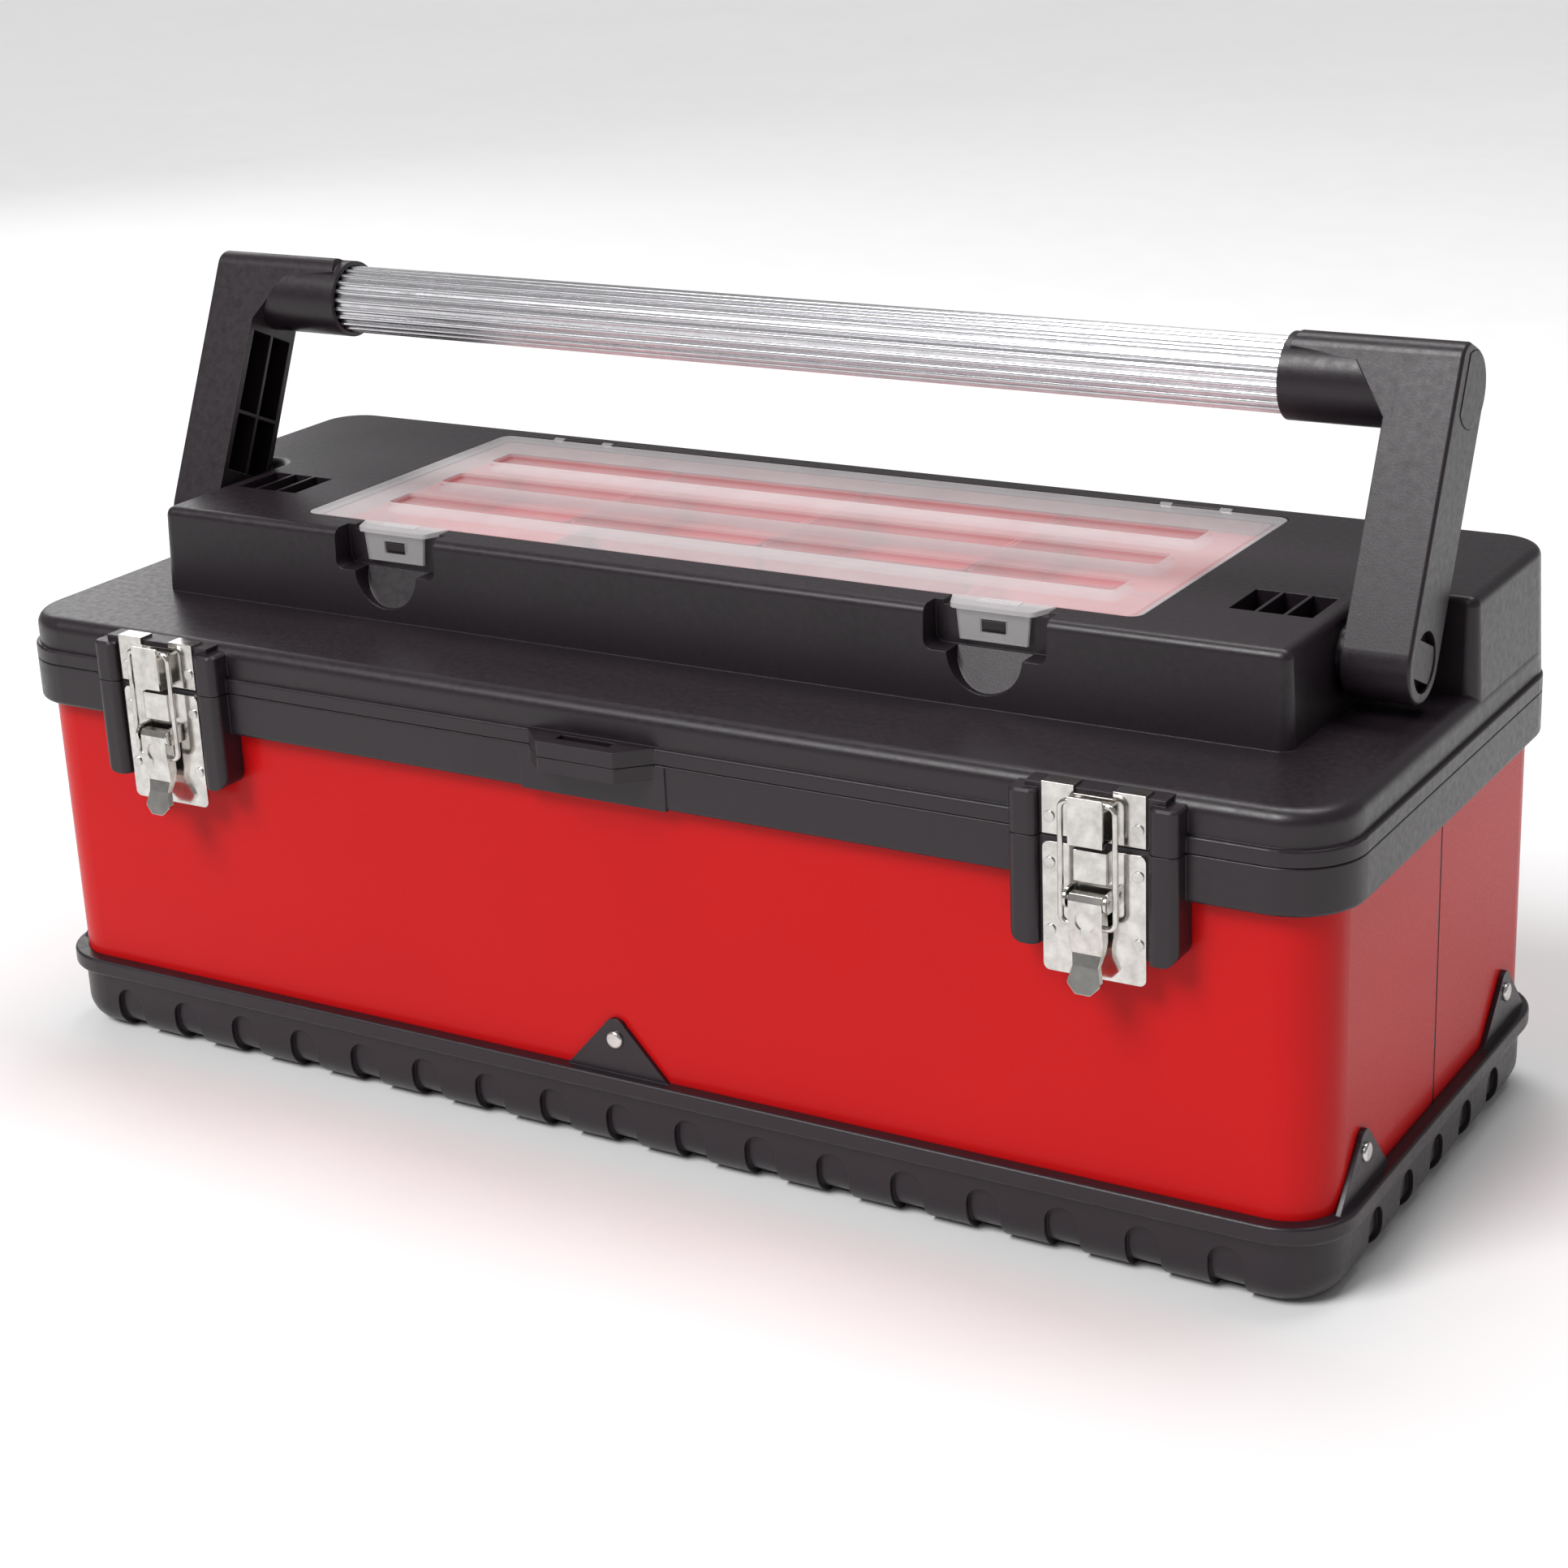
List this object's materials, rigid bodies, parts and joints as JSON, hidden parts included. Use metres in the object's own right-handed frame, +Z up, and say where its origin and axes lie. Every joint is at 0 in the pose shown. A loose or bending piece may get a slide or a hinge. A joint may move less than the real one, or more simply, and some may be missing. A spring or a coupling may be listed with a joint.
{
  "type": "tool box",
  "caption": "Steel and plastic tool box with a latched stepped lid, a folding carry handle, an organizer lid over small-parts bins, bit pockets and a lift-out tray.",
  "frame": {"origin": "centre of the flat underside of the base, between the long sides and between the ends, on the ground", "axes": "+X along the length, to the right as seen from the latches; the latched front faces -Y; +Z up"},
  "size_m": [0.686, 0.2967, 0.3648],
  "materials": {
    "black_plastic": "fine grained, satin",
    "red_paint": "smooth gloss coat",
    "latch_steel": "bright nickel plate",
    "rivet_steel": "plain bright steel",
    "bar_aluminium": "satin anodised",
    "milky_plastic": "translucent, satin",
    "bin_plastic": "satin",
    "tray_plastic": "fine grained, satin"
  },
  "bodies": {
    "box": {"base_tray": "black_plastic", "base_rivets": "rivet_steel", "side_sheet_front": "red_paint", "side_sheet_rear": "red_paint", "seam_strip_left": "black_plastic", "seam_strip_right": "black_plastic", "collar": "black_plastic", "latch_plate_left": "latch_steel", "latch_plate_right": "latch_steel", "latch_rivets_left": "rivet_steel", "latch_rivets_right": "rivet_steel", "lever_pin_left": "rivet_steel", "lever_pin_right": "rivet_steel", "hinge_pin_left": "rivet_steel", "hinge_pin_right": "rivet_steel"},
    "lid": {"lid": "black_plastic", "keeper_left": "latch_steel", "keeper_right": "latch_steel", "keeper_rivets_left": "rivet_steel", "keeper_rivets_right": "rivet_steel", "organizer_pin_left": "rivet_steel", "organizer_pin_right": "rivet_steel", "bin_front_left": "bin_plastic", "bin_front_right": "bin_plastic", "bin_rear_1": "bin_plastic", "bin_rear_2": "bin_plastic", "bin_rear_3": "bin_plastic", "bin_rear_4": "bin_plastic"},
    "handle": {"handle_bar": "bar_aluminium", "handle_arm_left": "black_plastic", "handle_arm_right": "black_plastic", "arm_cap_left": "black_plastic", "arm_cap_right": "black_plastic", "pivot_pin_left": "black_plastic", "pivot_pin_right": "black_plastic"},
    "lever_left": {"latch_lever_left": "latch_steel"},
    "lever_right": {"latch_lever_right": "latch_steel"},
    "bail_left": {"bail_left": "latch_steel"},
    "bail_right": {"bail_right": "latch_steel"},
    "organizer_lid": {"organizer_lid": "milky_plastic"},
    "clip_left": {"organizer_clip_left": "milky_plastic"},
    "clip_right": {"organizer_clip_right": "milky_plastic"},
    "tray": {"lift_out_tray": "tray_plastic", "tray_handle": "tray_plastic"}
  },
  "joints": [
    {"name": "lid_hinge", "type": "hinge", "parent": "box", "child": "lid", "pos_m": [0, 0.1405, 0.1948], "axis": [-1, 0, 0], "range_deg": [0, 100]},
    {"name": "handle_fold", "type": "hinge", "parent": "lid", "child": "handle", "pos_m": [0, -0.008, 0.241], "axis": [1, 0, 0], "range_deg": [0, 114]},
    {"name": "organizer_lid_hinge", "type": "hinge", "parent": "lid", "child": "organizer_lid", "pos_m": [0, 0.1194, 0.257], "axis": [-1, 0, 0], "range_deg": [0, 36]},
    {"name": "lever_left_pivot", "type": "hinge", "parent": "box", "child": "lever_left", "pos_m": [-0.2425, -0.146, 0.1725], "axis": [-1, 0, 0], "range_deg": [0, 110]},
    {"name": "bail_left_swing", "type": "hinge", "parent": "lever_left", "child": "bail_left", "pos_m": [-0.2425, -0.146, 0.1615], "axis": [1, 0, 0], "range_deg": [0, 165]},
    {"name": "clip_left_flex", "type": "hinge", "parent": "organizer_lid", "child": "clip_left", "pos_m": [-0.1585, -0.05015, 0.2594], "axis": [-1, 0, 0], "range_deg": [0, 60]},
    {"name": "lever_right_pivot", "type": "hinge", "parent": "box", "child": "lever_right", "pos_m": [0.2425, -0.146, 0.1725], "axis": [-1, 0, 0], "range_deg": [0, 110]},
    {"name": "bail_right_swing", "type": "hinge", "parent": "lever_right", "child": "bail_right", "pos_m": [0.2425, -0.146, 0.1615], "axis": [1, 0, 0], "range_deg": [0, 165]},
    {"name": "clip_right_flex", "type": "hinge", "parent": "organizer_lid", "child": "clip_right", "pos_m": [0.1585, -0.05015, 0.2594], "axis": [-1, 0, 0], "range_deg": [0, 60]},
    {"name": "tray_lift", "type": "slide", "parent": "box", "child": "tray", "axis": [0, 0, 1], "range_m": [0, 0.012]}
  ],
  "couplings": [
    {"joint": "bail_left_swing", "follows": "lever_left_pivot", "ratio": 1.5},
    {"joint": "bail_right_swing", "follows": "lever_right_pivot", "ratio": 1.5}
  ]
}
